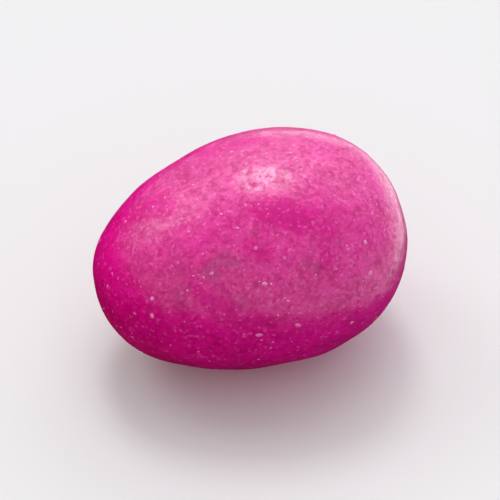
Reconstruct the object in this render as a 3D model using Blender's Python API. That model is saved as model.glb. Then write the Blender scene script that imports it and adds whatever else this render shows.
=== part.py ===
"""One sugared almond as a single solid: a kernel panned in chocolate and then in a pink sugar shell.

Units are metres, with +Z up. The almond lies on its broad side, as it comes to rest by itself, with its
long axis along X and its blunt end at +X. The origin is on the surface that it rests on, under the middle
of its bounding box.
"""

import math

import bmesh
import bpy
from mathutils import Matrix, Vector, noise

MM = 0.001

# Overall size of the smooth form, before its relief
LENGTH = 25.8 * MM
WIDTH = 20.0 * MM
THICKNESS = 18.0 * MM

# Form of the egg
TAPER = 0.113  # the share by which the girth grows from the middle to the blunt end
NARROW_FULLNESS, BLUNT_FULLNESS = 0.83, 0.92  # 1 gives an ellipsoid's end, and less gives a fuller one

# Relief of the turned coating, as smooth noise: the distance between swells, and how high they are
SWELL_SPACING, SWELL_HEIGHT = 8.5 * MM, 0.20 * MM
RIPPLE_SPACING, RIPPLE_HEIGHT = 3.6 * MM, 0.06 * MM
NOISE_PLACE = Vector((62.9, 90.1, 49.3))  # where in the noise the almond lies

# Flats, rubbed by the neighbours in the turning pan: the bearing from +X towards +Y and the rise above the
# broad plane, both in degrees, and how deep the flat cuts into the egg
FLATS = (
    (-98, -45, 0.20 * MM),
    (109, 41, 0.12 * MM),
    (12, 23, 0.10 * MM),
    (64, -6, 0.10 * MM),
    (170, 26, 0.06 * MM),
)
FLAT_EDGE = 0.05 * MM  # the softness of a flat's rim

# Shallow dimples: bearing, rise, radius and depth
DIMPLES = (
    (-82, 50, 2.2 * MM, 0.05 * MM),
    (-138, 32, 1.8 * MM, 0.05 * MM),
    (40, 50, 2.4 * MM, 0.06 * MM),
    (88, -20, 2.2 * MM, 0.06 * MM),
)

# Where it rests
SPOT_DEPTH = 0.15 * MM  # how much of the underside the flat spot takes away
ROLL_RADIUS = 15.0 * MM  # about how round the underside is, which sets the step of each roll
ROLL_SHARE = 0.5
MOST_ROLLS = 200
SETTLED = 0.01 * MM

FINENESS = 5  # subdivisions of the ball that it is shaped from
SHELL_PINK = (0.847, 0.235, 0.557)  # as a screen shows it
SHELL_ROUGHNESS = 0.42


def linear(channel):
    """A screen's colour channel as light."""
    return channel / 12.92 if channel <= 0.04045 else ((channel + 0.055) / 1.055) ** 2.4


def direction(bearing, rise):
    """A unit vector from its bearing and rise in degrees."""
    turn, lift = math.radians(bearing), math.radians(rise)
    return Vector((math.cos(turn) * math.cos(lift), math.sin(turn) * math.cos(lift), math.sin(lift)))


def egg_point(ball_point):
    """The point of the smooth egg that a point of the unit ball becomes."""
    along = max(-1.0, min(1.0, ball_point.x))
    ring = math.sqrt(max(1.0 - along * along, 1e-12))
    fullness = NARROW_FULLNESS + (BLUNT_FULLNESS - NARROW_FULLNESS) * (along + 1.0) / 2
    girth = ring**fullness * (1.0 + TAPER * along)
    side, up = ball_point.y / ring, ball_point.z / ring
    return Vector((along * LENGTH / 2, side * girth * WIDTH / 2, up * girth * THICKNESS / 2))


def soften(excess):
    """How far a point is pressed back that stands this far outside a flat, with a soft rim."""
    steps = excess / FLAT_EDGE
    return excess if steps > 30 else FLAT_EDGE * math.log1p(math.exp(steps))


def relief(point):
    """How far the coating stands out from the egg here, from its swells, ripples and dimples."""
    swell = SWELL_HEIGHT * noise.noise(point / SWELL_SPACING + NOISE_PLACE)
    ripple = RIPPLE_HEIGHT * noise.noise(point / RIPPLE_SPACING - NOISE_PLACE)
    hollow = 0.0
    for bearing, rise, radius, depth in DIMPLES:
        distance = (point - egg_point(direction(bearing, rise))).length
        hollow += depth * math.exp(-((distance / radius) ** 2))
    return swell + ripple - hollow


def shape_egg(mesh):
    """Shapes a unit ball into the almond: the egg, its relief, then its flats."""
    for vertex in mesh.verts:
        vertex.co = egg_point(vertex.co.normalized())
    mesh.normal_update()
    for vertex in mesh.verts:
        vertex.co += vertex.normal * relief(vertex.co)
    for bearing, rise, depth in FLATS:
        facing = direction(bearing, rise)
        reach = max(vertex.co.dot(facing) for vertex in mesh.verts) - depth
        for vertex in mesh.verts:
            vertex.co -= facing * soften(vertex.co.dot(facing) - reach)


def centre_of_mass(mesh):
    """The centre of the solid, summed over the wedges from the origin to each face."""
    total, moment = 0.0, Vector()
    for face in mesh.faces:
        a, b, c = (vertex.co for vertex in face.verts)
        volume = a.dot(b.cross(c)) / 6
        total += volume
        moment += volume * (a + b + c) / 4
    return moment / total


def resting_point(mesh):
    """The middle of the cap that the flat spot takes away."""
    lowest = min(vertex.co.z for vertex in mesh.verts)
    total, middle = 0.0, Vector()
    for vertex in mesh.verts:
        share = max(0.0, lowest + SPOT_DEPTH - vertex.co.z)
        total += share
        middle += share * vertex.co
    return middle / total


def settle(mesh):
    """Rolls the almond, as it would roll by itself, until its weight is over the point it rests on."""
    for _ in range(MOST_ROLLS):
        lean = centre_of_mass(mesh) - resting_point(mesh)
        lean.z = 0.0
        if lean.length < SETTLED:
            break
        roll = Matrix.Rotation(ROLL_SHARE * lean.length / ROLL_RADIUS, 3, Vector((-lean.y, lean.x, 0.0)))
        bmesh.ops.rotate(mesh, cent=(0, 0, 0), matrix=roll, verts=mesh.verts)


def cut_resting_spot(mesh):
    """Cuts the small flat spot and closes it with one flat face."""
    height = min(vertex.co.z for vertex in mesh.verts) + SPOT_DEPTH
    cut = bmesh.ops.bisect_plane(
        mesh,
        geom=[*mesh.verts, *mesh.edges, *mesh.faces],
        dist=0.001 * MM,
        plane_co=(0, 0, height),
        plane_no=(0, 0, -1),
        clear_outer=True,
    )
    rim = [item for item in cut["geom_cut"] if isinstance(item, bmesh.types.BMEdge)]
    bmesh.ops.edgeloop_fill(mesh, edges=rim)
    bmesh.ops.recalc_face_normals(mesh, faces=mesh.faces)
    for edge in rim:
        edge.smooth = False


def centre_on_base(mesh):
    """Moves the almond so that the origin lies under the middle of its bounding box."""
    spans = [[vertex.co[axis] for vertex in mesh.verts] for axis in range(3)]
    middle = [(min(span) + max(span)) / 2 for span in spans]
    bmesh.ops.translate(mesh, verts=mesh.verts, vec=(-middle[0], -middle[1], -min(spans[2])))


def shell_material():
    """The satin pink of the sugar shell."""
    material = bpy.data.materials.new("sugar_shell")
    material.use_nodes = True
    surface = material.node_tree.nodes["Principled BSDF"]
    surface.inputs["Base Color"].default_value = (*map(linear, SHELL_PINK), 1.0)
    surface.inputs["Roughness"].default_value = SHELL_ROUGHNESS
    surface.inputs["Metallic"].default_value = 0.0
    return material


def sugared_almond():
    """Builds the one solid of the almond."""
    shape = bmesh.new()
    bmesh.ops.create_icosphere(shape, subdivisions=FINENESS, radius=1.0)
    shape_egg(shape)
    settle(shape)
    cut_resting_spot(shape)
    centre_on_base(shape)
    mesh = bpy.data.meshes.new("sugared_almond")
    shape.to_mesh(mesh)
    shape.free()
    mesh.shade_smooth()
    mesh.materials.append(shell_material())
    almond = bpy.data.objects.new("sugared_almond", mesh)
    bpy.context.collection.objects.link(almond)
    return almond


for leftover in list(bpy.data.objects):
    bpy.data.objects.remove(leftover)
sugared_almond()
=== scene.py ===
"""The looks of one sugared almond: its polished pink sugar shell, the sugar crystals on it, and the studio.

Lengths are in metres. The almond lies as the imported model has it: +X along it to its blunt end, +Z up.
A place on its surface is given by a bearing from +X towards +Y and a rise above the level, in degrees, as
seen from its middle.
"""

from __future__ import annotations

import logging
import math
import random
from dataclasses import dataclass
from enum import Enum

import bpy
import numpy as np
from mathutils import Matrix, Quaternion, Vector


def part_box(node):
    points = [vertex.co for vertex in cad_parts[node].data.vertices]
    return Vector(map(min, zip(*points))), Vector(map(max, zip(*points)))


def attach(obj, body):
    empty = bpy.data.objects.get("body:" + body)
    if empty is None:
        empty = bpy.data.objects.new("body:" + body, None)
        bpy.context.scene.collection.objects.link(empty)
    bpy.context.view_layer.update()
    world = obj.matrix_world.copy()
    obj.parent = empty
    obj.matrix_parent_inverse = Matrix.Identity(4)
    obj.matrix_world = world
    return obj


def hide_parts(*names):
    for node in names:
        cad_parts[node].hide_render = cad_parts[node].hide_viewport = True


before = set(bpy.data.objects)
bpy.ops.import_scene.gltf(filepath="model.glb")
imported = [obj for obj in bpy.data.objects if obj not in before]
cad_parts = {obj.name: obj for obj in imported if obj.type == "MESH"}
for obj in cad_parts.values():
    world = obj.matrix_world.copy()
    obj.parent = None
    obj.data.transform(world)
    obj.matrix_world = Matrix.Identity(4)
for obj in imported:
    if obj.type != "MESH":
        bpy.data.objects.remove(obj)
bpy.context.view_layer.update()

MM = 0.001
NODE = "sugared_almond"
BODY = "root"
TINY = 1e-9

Colour = tuple[float, float, float]

log = logging.getLogger("sugared_almond")


def heading(bearing: float, rise: float) -> Vector:
    """Turns a bearing and a rise into a direction.

    Args:
        bearing: degrees from +X towards +Y.
        rise: degrees above the level.

    Returns:
        The unit vector that points there.
    """
    turn, lift = math.radians(bearing), math.radians(rise)
    return Vector((math.cos(turn) * math.cos(lift), math.sin(turn) * math.cos(lift), math.sin(lift)))


class Workbench:
    """Blender's operators and a mesh's own data, as they are used on the pieces here."""

    @staticmethod
    def pick(*pieces: bpy.types.Object) -> None:
        """Selects these pieces alone and makes the last one active.

        Args:
            pieces: what is worked on next.
        """
        bpy.ops.object.select_all(action="DESELECT")
        for piece in pieces:
            piece.select_set(True)
        bpy.context.view_layer.objects.active = pieces[-1]

    @staticmethod
    def finish(piece: bpy.types.Object, kind: str, **settings: object) -> None:
        """Adds one modifier to a piece, sets it and applies it.

        Args:
            piece: the piece that it changes.
            kind: the modifier's type.
            settings: its settings by name.
        """
        Workbench.pick(piece)
        step = piece.modifiers.new(kind.lower(), kind)
        for name, value in settings.items():
            setattr(step, name, value)
        bpy.ops.object.modifier_apply(modifier=step.name)

    @staticmethod
    def points(piece: bpy.types.Object) -> np.ndarray:
        """The piece's vertices, one row each."""
        places = np.empty(len(piece.data.vertices) * 3)
        piece.data.vertices.foreach_get("co", places)
        return places.reshape(-1, 3)

    @staticmethod
    def normals(piece: bpy.types.Object) -> np.ndarray:
        """The way that the surface faces at each vertex, one row each."""
        ways = np.empty(len(piece.data.vertices) * 3)
        piece.data.vertices.foreach_get("normal", ways)
        return ways.reshape(-1, 3)


class Number:
    """A number that changes over a surface, which Python's own operators work on.

    Each operator adds one Math node, so a finish is written as the formula that it is.
    """

    def __init__(self, sheet: Sheet, socket: bpy.types.NodeSocket) -> None:
        """Wraps a node's output.

        Args:
            sheet: the node sheet that new nodes are added to.
            socket: the output that gives the number.
        """
        self.sheet = sheet
        self.socket = socket

    def _math(self, operation: str, first: Number | float, second: Number | float) -> Number:
        """Adds one Math node.

        Args:
            operation: what it does.
            first: its upper value.
            second: its lower value.

        Returns:
            Its result.
        """
        terms = {"Value": first, "Value_001": second}
        return self.sheet.number("ShaderNodeMath", {"operation": operation}, terms)

    def __add__(self, other: Number | float) -> Number:
        """The sum of two numbers."""
        return self._math("ADD", self, other)

    __radd__ = __add__

    def __sub__(self, other: Number | float) -> Number:
        """This number less another."""
        return self._math("SUBTRACT", self, other)

    def __rsub__(self, other: float) -> Number:
        """A plain number less this one."""
        return self._math("SUBTRACT", other, self)

    def __mul__(self, other: Number | float) -> Number:
        """The product of two numbers."""
        return self._math("MULTIPLY", self, other)

    __rmul__ = __mul__

    def between(self, low: float, high: float) -> Number:
        """A soft step over this number.

        Args:
            low: where the step is still 0.
            high: where it has come to 1.

        Returns:
            A number from 0 to 1.
        """
        edges = {"Value": self, "From Min": low, "From Max": high}
        return self.sheet.number("ShaderNodeMapRange", {"interpolation_type": "SMOOTHSTEP"}, edges)


class Sheet:
    """The node sheet of one material, or of the room."""

    def __init__(self, owner: bpy.types.Material | bpy.types.World, shader: str) -> None:
        """Opens the sheet of a new material or world.

        Args:
            owner: what the sheet belongs to.
            shader: the name of the shader node that it starts with.
        """
        owner.use_nodes = True
        self.owner = owner
        self.nodes = owner.node_tree.nodes
        self.links = owner.node_tree.links
        self.shader = self.nodes[shader]

    @classmethod
    def surface(cls, name: str) -> Sheet:
        """Starts a material's sheet under this name."""
        return cls(bpy.data.materials.new(name), "Principled BSDF")

    def set(self, node: bpy.types.Node, sockets: dict[str, object]) -> None:
        """Gives a node's inputs their values or links.

        Args:
            node: the node.
            sockets: a value, a Number or another node's output for each input, by its identifier.
        """
        inputs = {socket.identifier: socket for socket in node.inputs}
        for name, value in sockets.items():
            if isinstance(value, Number):
                self.links.new(value.socket, inputs[name])
            elif isinstance(value, bpy.types.NodeSocket):
                self.links.new(value, inputs[name])
            else:
                inputs[name].default_value = value

    def add(self, kind: str, settings: dict[str, object], sockets: dict[str, object]) -> bpy.types.Node:
        """Adds one node.

        Args:
            kind: the node's type.
            settings: its own settings, which are set first, as some of them change its inputs.
            sockets: the values or links of its inputs, by identifier.

        Returns:
            The new node.
        """
        node = self.nodes.new(kind)
        for name, value in settings.items():
            setattr(node, name, value)
        self.set(node, sockets)
        return node

    def number(
        self, kind: str, settings: dict[str, object], sockets: dict[str, object], out: int = 0
    ) -> Number:
        """Adds one node and takes a number from it.

        Args:
            kind: the node's type.
            settings: its own settings.
            sockets: the values or links of its inputs.
            out: which of its outputs gives the number.

        Returns:
            That output, ready for a formula.
        """
        return Number(self, self.add(kind, settings, sockets).outputs[out])

    def attribute(self, name: str) -> Number:
        """The value that a piece's mesh carries under this name."""
        return self.number("ShaderNodeAttribute", {"attribute_name": name}, {}, out=2)

    def millimetres(self) -> bpy.types.NodeSocket:
        """The place on the piece, with a millimetre as its unit."""
        place = self.add("ShaderNodeTexCoord", {}, {}).outputs["Object"]
        return self.add("ShaderNodeMapping", {}, {"Vector": place, "Scale": (1 / MM,) * 3}).outputs["Vector"]

    def clouds(self, place: bpy.types.NodeSocket, spacing: float) -> Number:
        """Soft noise about a middle of 0, with two finer scales on it.

        Args:
            place: the place on the piece in millimetres.
            spacing: millimetres from one bump to the next, about.

        Returns:
            A number from about -0.5 to 0.5.
        """
        sockets = {"Vector": place, "Scale": 1 / spacing, "Detail": 2.0}
        return self.number("ShaderNodeTexNoise", {}, sockets) - 0.5

    def warped(self, place: bpy.types.NodeSocket, spacing: float, shift: float) -> bpy.types.NodeSocket:
        """Shifts a place by soft noise, so that what is drawn there gets an uneven outline.

        Args:
            place: the place on the piece in millimetres.
            spacing: millimetres from one turn of the outline to the next, about.
            shift: how far the outline strays to either side, in millimetres.

        Returns:
            The shifted place.
        """
        noise = self.add("ShaderNodeTexNoise", {}, {"Vector": place, "Scale": 1 / spacing}).outputs["Color"]
        terms = {"Vector": noise, "Vector_001": (2 * shift,) * 3, "Vector_002": place}
        return self.add("ShaderNodeVectorMath", {"operation": "MULTIPLY_ADD"}, terms).outputs["Vector"]

    def chips(self, place: bpy.types.NodeSocket, spacing: float) -> Number:
        """A number for each small grain of the surface, at random.

        Args:
            place: the place on the piece in millimetres.
            spacing: millimetres from one grain to the next, about.

        Returns:
            A number from -0.5 to 0.5, the same all over one grain.
        """
        cells = self.add("ShaderNodeTexVoronoi", {}, {"Vector": place, "Scale": 1 / spacing})
        return self.number("ShaderNodeSeparateColor", {}, {"Color": cells.outputs["Color"]}) - 0.5

    def spots(self, place: bpy.types.NodeSocket, spacing: float, radius: float, share: float) -> Number:
        """Round spots, each at a random place and of a random strength.

        Args:
            place: the place on the piece in millimetres.
            spacing: millimetres from one possible spot to the next, about.
            radius: a spot's radius in millimetres.
            share: the share of the possible spots that are there.

        Returns:
            The strength inside a spot and 0 outside, with a soft edge.
        """
        cells = self.add("ShaderNodeTexVoronoi", {}, {"Vector": place, "Scale": 1 / spacing})
        distance = Number(self, cells.outputs["Distance"])
        chance = self.number("ShaderNodeSeparateColor", {}, {"Color": cells.outputs["Color"]})
        edge = radius / spacing
        return (1 - distance.between(0.4 * edge, edge)) * (1 - chance.between(0.3 * share, share))

    def blend(
        self, share: Number | float, under: bpy.types.NodeSocket | Colour, over: Colour
    ) -> bpy.types.NodeSocket:
        """Lays one colour over another.

        Args:
            share: how much of the upper colour shows.
            under: the lower colour.
            over: the upper colour.

        Returns:
            The colour that they make together.
        """
        lower = under if isinstance(under, bpy.types.NodeSocket) else (*under, 1.0)
        sockets = {"Factor_Float": share, "A_Color": lower, "B_Color": (*over, 1.0)}
        mix = self.add("ShaderNodeMix", {"data_type": "RGBA"}, sockets)
        return next(socket for socket in mix.outputs if socket.identifier == "Result_Color")


@dataclass(frozen=True)
class PolishedSugar:
    """The finish of the shell: hard panned sugar, polished to satin, with its colour a little uneven.
    Painted shade deepens its colour in the pits and where its relief sinks.

    Colours are as light, not as a screen shows them. Spacings, shifts and radii are in millimetres, as the
    patterns are. An edge is where a pattern begins and where it is full. A cover is the share of the colour
    below that a pattern hides where it is full. Depth is how far light goes under the surface.
    """

    deep: Colour = (0.66, 0.001, 0.230)
    bright: Colour = (0.90, 0.004, 0.365)
    dusty: Colour = (0.95, 0.100, 0.520)
    smudge: Colour = (0.40, 0.030, 0.200)
    # painted shade: this deep colour darkens the pressed pits; it is also the colour of the random specks
    speck_colour_and_pit_shade: Colour = (0.42, 0.001, 0.120)
    spark: Colour = (1.00, 0.150, 0.560)
    blotch_spacing: float = 4.2
    mottle_spacing: float = 0.9
    grain_spacing: float = 0.46
    tooth_spacing: float = 0.20
    chip_spacing: float = 0.24
    fleck_spacing: float = 0.30
    spark_spacing: float = 0.23
    warp_spacing: float = 0.20
    warp_shift: float = 0.06
    speck_spacing: float = 0.85
    speck_radius: float = 0.10
    speck_share: float = 0.6
    fleck_edge: tuple[float, float] = (0.08, 0.28)
    spark_edge: tuple[float, float] = (0.39, 0.50)
    bare_edge: tuple[float, float] = (0.0, 0.8)
    smudge_edge: tuple[float, float] = (0.15, 1.0)
    gloss_edge: tuple[float, float] = (0.25, 1.75)
    dust_cover: float = 0.36
    spark_cover: float = 0.5
    smudge_cover: float = 0.55
    speck_cover: float = 0.18
    pit_shade_cover: float = 0.35
    roughness: float = 0.34
    gloss: float = 1.04
    coat_roughness: float = 0.235
    coat_ior: float = 1.70
    specular: float = 0.35
    depth_share: float = 0.12
    depth_colours: Colour = (1.0, 0.12, 0.35)
    depth: float = 0.6 * MM
    grain_height: float = 0.035 * MM

    def material(self) -> bpy.types.Material:
        """Makes the finish.

        Returns:
            The material, for a piece with the attributes that SugarShell leaves on its mesh.
        """
        sheet = Sheet.surface("polished_sugar")
        place = sheet.millimetres()
        uneven = sheet.warped(place, self.warp_spacing, self.warp_shift)
        blotch = sheet.clouds(place, self.blotch_spacing)
        mottle = sheet.clouds(place, self.mottle_spacing)
        grain = sheet.clouds(place, self.grain_spacing)
        tooth = sheet.clouds(place, self.tooth_spacing)
        chips = sheet.chips(uneven, self.chip_spacing)
        flecks = sheet.clouds(uneven, self.fleck_spacing).between(*self.fleck_edge)
        sparks = sheet.chips(uneven, self.spark_spacing).between(*self.spark_edge)
        specks = sheet.spots(uneven, self.speck_spacing, self.speck_radius, self.speck_share)
        relief_shade = sheet.attribute(SugarShell.RELIEF_SHADE)
        pits = sheet.attribute(SugarShell.PITS)
        rubbed = sheet.attribute(SugarShell.BARE)
        marked = sheet.attribute(SugarShell.SMUDGED)

        bare = (1.3 * rubbed + 1.2 * blotch + 1.8 * mottle - 0.1).between(*self.bare_edge)
        # painted shade: relief_shade makes the tone deeper where the relief sinks and paler where it stands
        # out; the other terms vary the tone at random
        tone = 0.5 + 0.6 * blotch + 1.25 * mottle + 0.7 * grain + 0.65 * chips + 0.15 * relief_shade - 0.2 * bare
        colour = sheet.blend(tone.between(0.0, 1.0), self.deep, self.bright)
        dust = flecks * (1 - 0.5 * bare)
        colour = sheet.blend(self.dust_cover * dust, colour, self.dusty)
        colour = sheet.blend(self.spark_cover * sparks, colour, self.spark)
        smudges = (marked * (1 + 3 * mottle + 3 * grain)).between(*self.smudge_edge)
        colour = sheet.blend(self.smudge_cover * smudges, colour, self.smudge)
        colour = sheet.blend(self.speck_cover * specks, colour, self.speck_colour_and_pit_shade)
        # painted shade: the pressed pits are darkened with the deep colour
        colour = sheet.blend(self.pit_shade_cover * pits, colour, self.speck_colour_and_pit_shade)

        height = 0.6 * grain + 0.3 * tooth + 0.2 * flecks - 0.5 * specks
        bump = sheet.add("ShaderNodeBump", {}, {"Height": height, "Distance": self.grain_height})
        gloss = self.gloss + 1.5 * mottle + 0.6 * grain + 0.6 * chips + 1.0 * flecks - 1.0 * bare
        finish = {
            "Base Color": colour,
            "Roughness": self.roughness + 0.10 * blotch + 0.15 * grain + 0.08 * dust,
            "Coat Weight": gloss.between(*self.gloss_edge),
            "Coat Roughness": self.coat_roughness,
            "Coat IOR": self.coat_ior,
            "Specular IOR Level": self.specular,
            "Subsurface Weight": self.depth_share,
            "Subsurface Radius": self.depth_colours,
            "Subsurface Scale": self.depth,
            "Normal": bump.outputs["Normal"],
        }
        sheet.set(sheet.shader, finish)
        return sheet.owner


@dataclass(frozen=True)
class RoughSugar:
    """The finish of a crystal: sugar that took up little colour.

    Spacings are in millimetres, and the other names mean what they mean in PolishedSugar.
    """

    pale: Colour = (1.00, 0.40, 0.68)
    pink: Colour = (1.00, 0.15, 0.46)
    tint_spacing: float = 1.7
    tint_edge: tuple[float, float] = (-0.2, 0.2)
    facet_spacing: float = 0.12
    facet_height: float = 0.01 * MM
    roughness: float = 0.32
    depth_share: float = 0.2
    depth_colours: Colour = (1.0, 0.6, 0.8)
    depth: float = 0.3 * MM

    def material(self) -> bpy.types.Material:
        """Makes the finish.

        Returns:
            The material of the crystals, some of them paler than others.
        """
        sheet = Sheet.surface("rough_sugar")
        place = sheet.millimetres()
        tint = sheet.clouds(place, self.tint_spacing)
        facets = sheet.clouds(place, self.facet_spacing)
        bump = sheet.add("ShaderNodeBump", {}, {"Height": facets, "Distance": self.facet_height})
        finish = {
            "Base Color": sheet.blend(tint.between(*self.tint_edge), self.pink, self.pale),
            "Roughness": self.roughness + 0.3 * facets,
            "Subsurface Weight": self.depth_share,
            "Subsurface Radius": self.depth_colours,
            "Subsurface Scale": self.depth,
            "Normal": bump.outputs["Normal"],
        }
        sheet.set(sheet.shader, finish)
        return sheet.owner


class Grain(Enum):
    """The patterns that the shell's relief is pressed from."""

    ROLLING = "IMPROVED_PERLIN"
    PEBBLED = "VORONOI_F1"


@dataclass(frozen=True)
class ReliefLayer:
    """One scale of the shell's relief."""

    name: str
    grain: Grain
    spacing: float
    height: float

    def press(self, piece: bpy.types.Object, group: str) -> None:
        """Presses the layer into a piece.

        Args:
            piece: the piece whose surface it moves.
            group: the vertex group that says how far each vertex takes part.
        """
        pattern = bpy.data.textures.new(self.name, "CLOUDS")
        pattern.noise_basis = self.grain.value
        pattern.noise_scale = self.spacing
        pattern.noise_depth = 1
        settings = {"texture": pattern, "texture_coords": "LOCAL", "strength": self.height}
        Workbench.finish(piece, "DISPLACE", vertex_group=group, **settings)
        bpy.data.textures.remove(pattern)


@dataclass(frozen=True)
class Mark:
    """A soft mark on the shell, drawn from one place to another: a rub, a ridge of syrup or a smudge.

    Each end is a bearing and a rise in degrees, and a round mark starts and ends at one place.
    """

    start: tuple[float, float]
    end: tuple[float, float]
    width: float
    strength: float = 1.0

    def weight(self, points: np.ndarray, middle: np.ndarray) -> np.ndarray:
        """How strong the mark is at each point.

        Args:
            points: the surface's points, one row each.
            middle: the almond's middle, which the mark's places are seen from.

        Returns:
            The mark's strength on its line, falling softly to 0 at its sides and beyond its ends.
        """
        first, last = np.array(heading(*self.start)), np.array(heading(*self.end))
        reach = np.linalg.norm(points - middle, axis=1)
        ways = (points - middle) / reach[:, None]
        step = last - first
        along = np.clip((ways - first) @ step / max(step @ step, TINY), 0, 1)
        nearest = first + along[:, None] * step
        nearest /= np.linalg.norm(nearest, axis=1)[:, None]
        aside = np.linalg.norm(ways - nearest, axis=1) * reach
        return self.strength * np.exp(-((aside / self.width) ** 2))


@dataclass
class SugarShell:
    """The almond's outer surface: the solid's form, finely meshed, with the relief of panned sugar."""

    RELIEF_SHADE = "relief_shade"
    PITS = "pits"
    BARE = "bare"
    SMUDGED = "smudged"

    cuts: tuple[int, int] = (7, 14)
    merge: float = 0.001 * MM
    form_levels: int = 2
    relax_steps: int = 6
    weight_steps: int = 400
    smooth_foot: tuple[float, float] = (0.02 * MM, 0.40 * MM)
    pit_count: int = 70
    pit_radius: tuple[float, float] = (0.16 * MM, 0.34 * MM)
    pit_depth: float = 0.035 * MM
    ridge_height: float = 0.022 * MM
    seed: int = 5
    layers: tuple[ReliefLayer, ...] = (
        ReliefLayer("swells", Grain.ROLLING, 3.2 * MM, 0.15 * MM),
        ReliefLayer("peel", Grain.ROLLING, 1.1 * MM, 0.045 * MM),
        ReliefLayer("pebbles", Grain.PEBBLED, 0.5 * MM, 0.014 * MM),
    )
    ridges: tuple[Mark, ...] = (
        Mark((-86, 80), (-66, 65), 0.22 * MM),
        Mark((-31, 74), (-31, 53), 0.20 * MM),
        Mark((-160, 66), (-150, 50), 0.20 * MM, 0.7),
        Mark((-30, 40), (-34, 14), 0.24 * MM, 0.7),
        Mark((20, 60), (48, 20), 0.24 * MM),
        Mark((120, 50), (160, 30), 0.24 * MM),
        Mark((95, 5), (125, -20), 0.22 * MM),
        Mark((-150, 10), (-120, -20), 0.22 * MM, 0.7),
    )
    bare_patches: tuple[Mark, ...] = (
        Mark((-94, 64), (-70, 52), 1.1 * MM),
        Mark((-112, 44), (-100, 40), 0.6 * MM, 0.6),
        Mark((-60, 40), (-70, 28), 0.9 * MM, 0.5),
        Mark((-140, 22), (-120, 14), 0.9 * MM, 0.4),
        Mark((30, 35), (50, 28), 1.4 * MM),
        Mark((80, 62), (110, 55), 1.2 * MM, 0.8),
        Mark((115, 12), (140, 5), 1.5 * MM, 0.8),
        Mark((175, 40), (165, 20), 1.2 * MM, 0.7),
        Mark((-5, 10), (5, -15), 1.3 * MM, 0.8),
    )
    smudges: tuple[Mark, ...] = (
        Mark((-131, 33), (-128, 37), 0.75 * MM),
        Mark((-122, 38), (-119, 37), 0.50 * MM, 0.7),
        Mark((-136, 30), (-129, 28), 0.45 * MM, 0.6),
        Mark((-112, 16), (-118, 20), 0.70 * MM, 0.4),
        Mark((-78, 33), (-74, 28), 0.60 * MM, 0.5),
        Mark((-144, 18), (-140, 12), 0.80 * MM, 0.5),
        Mark((55, 12), (64, 8), 0.60 * MM, 0.9),
        Mark((148, -8), (153, -12), 0.70 * MM, 0.7),
        Mark((22, 26), (27, 21), 0.50 * MM, 0.8),
        Mark((100, 35), (104, 32), 0.50 * MM, 0.6),
    )

    def form(self) -> bpy.types.Object:
        """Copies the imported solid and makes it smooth.

        Returns:
            The form that the shell is wrapped on, a helper that is removed again.
        """
        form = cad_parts[NODE].copy()
        form.data = form.data.copy()
        bpy.context.collection.objects.link(form)
        Workbench.pick(form)
        bpy.ops.object.mode_set(mode="EDIT")
        bpy.ops.mesh.select_all(action="SELECT")
        bpy.ops.mesh.remove_doubles(threshold=self.merge)
        bpy.ops.object.mode_set(mode="OBJECT")
        Workbench.finish(form, "SUBSURF", levels=self.form_levels, render_levels=self.form_levels)
        return form

    def ball(self) -> bpy.types.Object:
        """Makes an even ball of squares round the almond's place.

        Returns:
            A ball stretched to the almond's box.
        """
        low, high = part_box(NODE)
        bpy.ops.object.select_all(action="DESELECT")
        bpy.ops.mesh.primitive_cube_add(size=2.0, location=(0, 0, 0))
        ball = bpy.context.active_object
        bpy.ops.object.mode_set(mode="EDIT")
        bpy.ops.mesh.select_all(action="SELECT")
        for cuts in self.cuts:
            bpy.ops.mesh.subdivide(number_cuts=cuts)
        bpy.ops.object.mode_set(mode="OBJECT")
        Workbench.finish(ball, "CAST", cast_type="SPHERE", factor=1.0)
        ball.scale = (high - low) / 2 / self.radius_of(ball)
        ball.location = (low + high) / 2
        Workbench.pick(ball)
        bpy.ops.object.transform_apply(location=True, rotation=True, scale=True)
        return ball

    @staticmethod
    def radius_of(ball: bpy.types.Object) -> float:
        """The distance of a ball's surface from its middle."""
        return float(np.linalg.norm(Workbench.points(ball), axis=1).mean())

    def scatter_pits(self, points: np.ndarray, middle: np.ndarray) -> np.ndarray:
        """Finds how deep in a pit each point of the surface is.

        Args:
            points: the surface's points, one row each.
            middle: the almond's middle.

        Returns:
            1 at the bottom of a pit, and 0 outside all pits.
        """
        draw = random.Random(self.seed)
        weight = np.zeros(len(points))
        for _ in range(self.pit_count):
            way = Vector((draw.gauss(0, 1), draw.gauss(0, 1), draw.gauss(0, 1))).normalized()
            facing = (points - middle) @ np.array(way)
            centre = points[facing.argmax()]
            radius = draw.uniform(*self.pit_radius)
            weight += np.exp(-((np.linalg.norm(points - centre, axis=1) / radius) ** 2))
        return np.clip(weight, 0, 1)

    @staticmethod
    def drawn(marks: tuple[Mark, ...], points: np.ndarray, middle: np.ndarray) -> np.ndarray:
        """Draws several marks together.

        Args:
            marks: the marks.
            points: the surface's points, one row each.
            middle: the almond's middle.

        Returns:
            How marked each point is, from 0 to 1.
        """
        return np.clip(sum(mark.weight(points, middle) for mark in marks), 0, 1)

    def paint(self, shell: bpy.types.Object, name: str, weight: np.ndarray) -> str:
        """Paints a weight on the shell.

        Args:
            shell: the shell.
            name: what the weight is for.
            weight: the weight of each vertex, from 0 to 1.

        Returns:
            The name of the vertex group that holds it.
        """
        group = shell.vertex_groups.new(name=name)
        steps = np.round(weight * self.weight_steps).astype(int)
        for step in np.unique(steps[steps > 0]):
            group.add(np.flatnonzero(steps == step).tolist(), step / self.weight_steps, "REPLACE")
        return group.name

    def press_weight(self, shell: bpy.types.Object, weight: np.ndarray, depth: float) -> None:
        """Presses the surface in where a weight is painted on it.

        Args:
            shell: the shell.
            weight: how far each vertex goes, from 0 to 1.
            depth: how far a vertex of weight 1 goes.
        """
        group = self.paint(shell, "pressed", weight)
        Workbench.finish(shell, "DISPLACE", vertex_group=group, mid_level=0.0, strength=-depth)
        shell.vertex_groups.remove(shell.vertex_groups[group])

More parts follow.
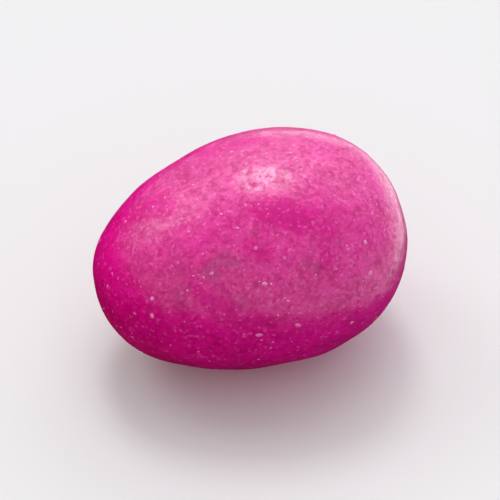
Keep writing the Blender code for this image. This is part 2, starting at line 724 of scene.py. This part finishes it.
    @staticmethod
    def keep(shell: bpy.types.Object, name: str, values: np.ndarray) -> None:
        """Keeps a value for each vertex on the mesh, where the finish reads it.

        Args:
            shell: the shell.
            name: the attribute's name.
            values: one value for each vertex.
        """
        attribute = shell.data.attributes.new(name, "FLOAT", "POINT")
        attribute.data.foreach_set("value", values.astype(np.float32))

    def build(self) -> bpy.types.Object:
        """Models the shell.

        Returns:
            The finished piece.
        """
        form = self.form()
        shell = self.ball()
        shell.name = shell.data.name = "polished_sugar_shell"
        Workbench.finish(shell, "SHRINKWRAP", target=form, wrap_method="NEAREST_SURFACEPOINT")
        Workbench.finish(shell, "SMOOTH", factor=0.5, iterations=self.relax_steps)
        bpy.data.objects.remove(form)

        smooth = Workbench.points(shell)
        outward = Workbench.normals(shell)
        middle = smooth.mean(axis=0)
        low, high = self.smooth_foot
        free = np.clip((smooth[:, 2] - low) / (high - low), 0, 1)
        group = self.paint(shell, "free", free)
        pits = self.scatter_pits(smooth, middle) * free
        self.press_weight(shell, pits, self.pit_depth)
        self.press_weight(shell, self.drawn(self.ridges, smooth, middle), -self.ridge_height)
        for layer in self.layers:
            layer.press(shell, group)
        lift = ((Workbench.points(shell) - smooth) * outward).sum(axis=1)
        # painted shade: the relief's lift is kept so that the finish paints sunken places deeper and raised
        # places paler
        self.keep(shell, self.RELIEF_SHADE, np.clip(lift / lift.std() / 2, -1, 1))
        # the pit weight, which the finish also uses to paint shade into the pits
        self.keep(shell, self.PITS, pits)
        self.keep(shell, self.BARE, self.drawn(self.bare_patches, smooth, middle))
        self.keep(shell, self.SMUDGED, self.drawn(self.smudges, smooth, middle))

        Workbench.pick(shell)
        bpy.ops.object.shade_smooth()
        shell.data.materials.append(PolishedSugar().material())
        return shell


@dataclass
class SugarCrystals:
    """The crystals of sugar that stand out of the shell, the plain ones larger and at chosen places."""

    count: int = 300
    radius: tuple[float, float] = (0.05 * MM, 0.11 * MM)
    roughness: float = 0.22
    longest: float = 1.7
    flatness: float = 0.55
    sunk: float = 0.32
    lowest: float = -0.85
    seed: int = 11
    plain: tuple[tuple[float, float, float], ...] = (
        (-56, 16, 0.23 * MM),
        (-51, 29, 0.17 * MM),
        (-108, 47, 0.16 * MM),
        (-126, 37, 0.14 * MM),
        (-103, 30, 0.16 * MM),
        (-147, 18, 0.19 * MM),
        (-145, 10, 0.17 * MM),
        (-90, 3, 0.20 * MM),
        (-105, 3, 0.18 * MM),
        (-68, -7, 0.17 * MM),
        (-173, 8, 0.16 * MM),
        (35, 30, 0.19 * MM),
        (70, 5, 0.17 * MM),
        (110, 25, 0.20 * MM),
        (160, 12, 0.17 * MM),
    )

    def crystal(self, fineness: int) -> bpy.types.Object:
        """Models one crystal of radius 1.

        Args:
            fineness: 1 for a crystal of 20 faces and 2 for one of 80.

        Returns:
            A rough little ball.
        """
        bpy.ops.object.select_all(action="DESELECT")
        bpy.ops.mesh.primitive_ico_sphere_add(subdivisions=fineness, radius=1.0, location=(0, 0, 0))
        crystal = bpy.context.active_object
        bpy.ops.object.mode_set(mode="EDIT")
        bpy.ops.mesh.select_all(action="SELECT")
        bpy.ops.transform.vertex_random(offset=self.roughness, seed=self.seed)
        bpy.ops.object.mode_set(mode="OBJECT")
        return crystal

    def bed(
        self, crystal: bpy.types.Object, shell: bpy.types.Object, way: Vector, radius: float, turn: float
    ) -> None:
        """Beds one crystal in the shell.

        Args:
            crystal: the crystal, of radius 1.
            shell: the shell that carries it.
            way: where it goes, as seen from the almond's middle.
            radius: its half width.
            turn: how it is turned on the surface, which also sets how long it is.
        """
        low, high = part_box(NODE)
        outside = (low + high) / 2 + way * (high - low).length / 2
        _, place, facing, _ = shell.closest_point_on_mesh(outside)
        crystal.rotation_mode = "QUATERNION"
        crystal.rotation_quaternion = facing.to_track_quat("Z", "Y") @ Quaternion((0, 0, 1), turn * math.pi)
        crystal.scale = (radius * (1 + (self.longest - 1) * turn), radius, radius * self.flatness)
        crystal.location = place - facing * radius * self.flatness * self.sunk

    def build(self, shell: bpy.types.Object) -> bpy.types.Object:
        """Models the crystals and beds them in the shell.

        Args:
            shell: the shell that carries them.

        Returns:
            All crystals as one piece.
        """
        draw = random.Random(self.seed)
        small, large = self.crystal(1), self.crystal(2)
        spots = [(large, heading(bearing, rise), radius) for bearing, rise, radius in self.plain]
        for _ in range(self.count):
            way = Vector((draw.gauss(0, 1), draw.gauss(0, 1), draw.gauss(0, 1))).normalized()
            radius = draw.uniform(*self.radius)
            if way.z > self.lowest:
                spots.append((small, way, radius))
        crystals = []
        for model, way, radius in spots:
            crystal = model.copy()
            crystal.data = model.data.copy()
            bpy.context.collection.objects.link(crystal)
            self.bed(crystal, shell, way, radius, draw.random())
            crystals.append(crystal)
        for model in (small, large):
            bpy.data.objects.remove(model)
        Workbench.pick(*crystals)
        bpy.ops.object.transform_apply(location=True, rotation=True, scale=True)
        bpy.ops.object.join()
        joined = bpy.context.active_object
        joined.name = joined.data.name = "sugar_crystals"
        bpy.ops.object.shade_flat()
        joined.data.materials.append(RoughSugar().material())
        return joined


@dataclass
class PhotoCamera:
    """The camera, at the photograph's viewing angle."""

    bearing: float = -19.7
    elevation: float = 43.0
    distance: float = 0.30
    seen_width: float = 40.5 * MM
    clipped: tuple[float, float] = (0.01, 20.0)

    def build(self) -> bpy.types.Object:
        """Places the camera and makes it the scene's own.

        Returns:
            The camera.
        """
        low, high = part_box(NODE)
        back = heading(self.bearing - 90, self.elevation)
        data = bpy.data.cameras.new("photo_camera")
        data.lens = data.sensor_width * self.distance / self.seen_width
        data.clip_start, data.clip_end = self.clipped
        camera = bpy.data.objects.new("photo_camera", data)
        bpy.context.collection.objects.link(camera)
        camera.location = (low + high) / 2 + back * self.distance
        camera.rotation_mode = "QUATERNION"
        camera.rotation_quaternion = (-back).to_track_quat("-Z", "Y")
        bpy.context.scene.camera = camera
        return camera


@dataclass(frozen=True)
class SoftLight:
    """A soft patch of light in the room, or a dark patch where its strength is below 0.

    Its place is a bearing and a rise as Studio gives them. Its reach is how far a direction points to it,
    as a cosine, where the patch begins and where it is at full strength.
    """

    place: tuple[float, float]
    reach: tuple[float, float]
    strength: float


@dataclass
class Studio:
    """A pale floor in a white room, with soft light from above and behind.

    Bearings are from the camera's right towards where it looks, so 90 is straight behind the almond. A rise
    that is given as a range is the upward part of a direction, where something begins and where it is full.
    """

    floor_size: float = 6.0
    floor_colour: Colour = (0.80, 0.80, 0.81)
    floor_roughness: float = 0.7
    shade_depth: float = 0.1 * MM
    shade_radius: float = 15.5 * MM
    shade_corners: int = 64
    shade_colour: Colour = (0.20, 0.002, 0.05)
    key_bearing: float = 100.5
    key_elevation: float = 59.5
    key_strength: float = 0.55
    key_width: float = 17.0
    walls: float = 0.65
    window: SoftLight = SoftLight((73, 16), (0.43, 1.0), 1.56)
    window_rise: tuple[float, float] = (0.0, 0.98)
    ceiling_rise: tuple[float, float] = (0.73, 1.0)
    ceiling_share: float = 0.80
    patches: tuple[SoftLight, ...] = (
        SoftLight((148, 44), (0.95, 0.99), 1.9),
        SoftLight((77, 73), (0.95, 0.99), 1.35),
        SoftLight((150, -22), (0.54, 0.97), -0.46),
        SoftLight((-34, -58), (0.60, 0.95), 0.40),
        SoftLight((91, -42), (0.72, 0.97), 1.10),
        SoftLight((42, -19), (0.89, 0.98), 0.70),
    )
    above: Colour = (1.0, 1.0, 1.0)
    below: Colour = (0.70, 0.005, 0.20)
    below_rise: tuple[float, float] = (-1.0, 0.1)
    front_place: tuple[float, float] = (-90, -30)
    front_share: float = 0.25
    bright_side: tuple[float, float, float] = (0.55, 0.08, 1.0)
    bright_edge: tuple[float, float] = (-0.24, -0.18)

    def turned(self, bearing: float, rise: float) -> Vector:
        """A direction given as the camera sees the room."""
        return heading(bearing + PhotoCamera.bearing, rise)

    def floor(self) -> bpy.types.Object:
        """Makes the floor that the almond lies on.

        Returns:
            The floor, which isn't part of the almond.
        """
        bpy.ops.object.select_all(action="DESELECT")
        bpy.ops.mesh.primitive_plane_add(size=self.floor_size, location=(0, 0, 0))
        floor = bpy.context.active_object
        floor.name = "floor"
        floor.visible_diffuse = floor.visible_glossy = floor.visible_shadow = False
        sheet = Sheet.surface("pale_floor")
        sheet.set(sheet.shader, {"Base Color": (*self.floor_colour, 1.0), "Roughness": self.floor_roughness})
        floor.data.materials.append(sheet.owner)
        return floor

    def shade(self) -> bpy.types.Object:
        """Lays the almond's own pink shade under it, which the shell mirrors and the camera doesn't see.

        Returns:
            The disc, which isn't part of the almond.
        """
        bpy.ops.object.select_all(action="DESELECT")
        place = (0, 0, -self.shade_depth)
        bpy.ops.mesh.primitive_circle_add(
            vertices=self.shade_corners, radius=self.shade_radius, fill_type="NGON", location=place
        )
        disc = bpy.context.active_object
        disc.name = "shade"
        disc.visible_camera = disc.visible_diffuse = disc.visible_shadow = False
        sheet = Sheet.surface("pink_shade")
        sheet.set(sheet.shader, {"Base Color": (*self.shade_colour, 1.0), "Roughness": 1.0})
        disc.data.materials.append(sheet.owner)
        return disc

    def key(self) -> bpy.types.Object:
        """Hangs the main light behind the almond and above it.

        Returns:
            The light.
        """
        data = bpy.data.lights.new("key_light", "SUN")
        data.energy = self.key_strength
        data.angle = math.radians(self.key_width)
        light = bpy.data.objects.new("key_light", data)
        bpy.context.collection.objects.link(light)
        light.rotation_mode = "QUATERNION"
        light.rotation_quaternion = self.turned(self.key_bearing, self.key_elevation).to_track_quat("Z", "Y")
        return light

    def room(self) -> bpy.types.World:
        """Surrounds the almond with a white room, brighter behind it and dark below it.

        Returns:
            The world.
        """
        sheet = Sheet(bpy.data.worlds.new("white_room"), "Background")
        way = sheet.add("ShaderNodeTexCoord", {}, {}).outputs["Generated"]

        def facing(side: Vector) -> Number:
            """How far a direction in the room points to this side."""
            sockets = {"Vector": way, "Vector_001": side}
            return sheet.number("ShaderNodeVectorMath", {"operation": "DOT_PRODUCT"}, sockets, out=1)

        rise = facing(Vector((0, 0, 1)))
        side = Vector((0, 0, self.bright_side[2]))
        side += self.turned(0, 0) * self.bright_side[0] + self.turned(90, 0) * self.bright_side[1]
        lit = facing(side.normalized()).between(*self.bright_edge)

        def patch(light: SoftLight) -> Number:
            """The light of one soft patch."""
            return light.strength * facing(self.turned(*light.place)).between(*light.reach)

        ceiling = 1 - self.ceiling_share * rise.between(*self.ceiling_rise)
        white = self.walls + patch(self.window) * rise.between(*self.window_rise) * ceiling
        for light in self.patches:
            white = white + patch(light)
        front = self.front_share * facing(self.turned(*self.front_place)).between(0.0, 1.0)
        dark = rise.between(*self.below_rise) * (1 - front)
        glow = (1 - lit) * dark + lit * white
        sheet.set(sheet.shader, {"Strength": glow, "Color": sheet.blend(lit, self.below, self.above)})
        bpy.context.scene.world = sheet.owner
        return sheet.owner

    def build(self) -> None:
        """Builds the floor, the shade, the light and the room, and shows colours as they are."""
        self.floor()
        self.shade()
        self.key()
        self.room()
        bpy.context.scene.view_settings.view_transform = "Standard"


def main() -> None:
    """Builds the almond and the studio, and reports each piece."""
    logging.basicConfig(level=logging.INFO, format="%(name)s: %(message)s")
    shell = SugarShell().build()
    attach(shell, BODY)
    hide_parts(NODE)
    log.info("%s has %d faces", shell.name, len(shell.data.polygons))
    crystals = SugarCrystals().build(shell)
    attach(crystals, BODY)
    log.info("%s has %d faces", crystals.name, len(crystals.data.polygons))
    camera = PhotoCamera().build()
    log.info("%s stands %.2f m away", camera.name, PhotoCamera.distance)
    Studio().build()


if __name__ == "__main__":
    main()
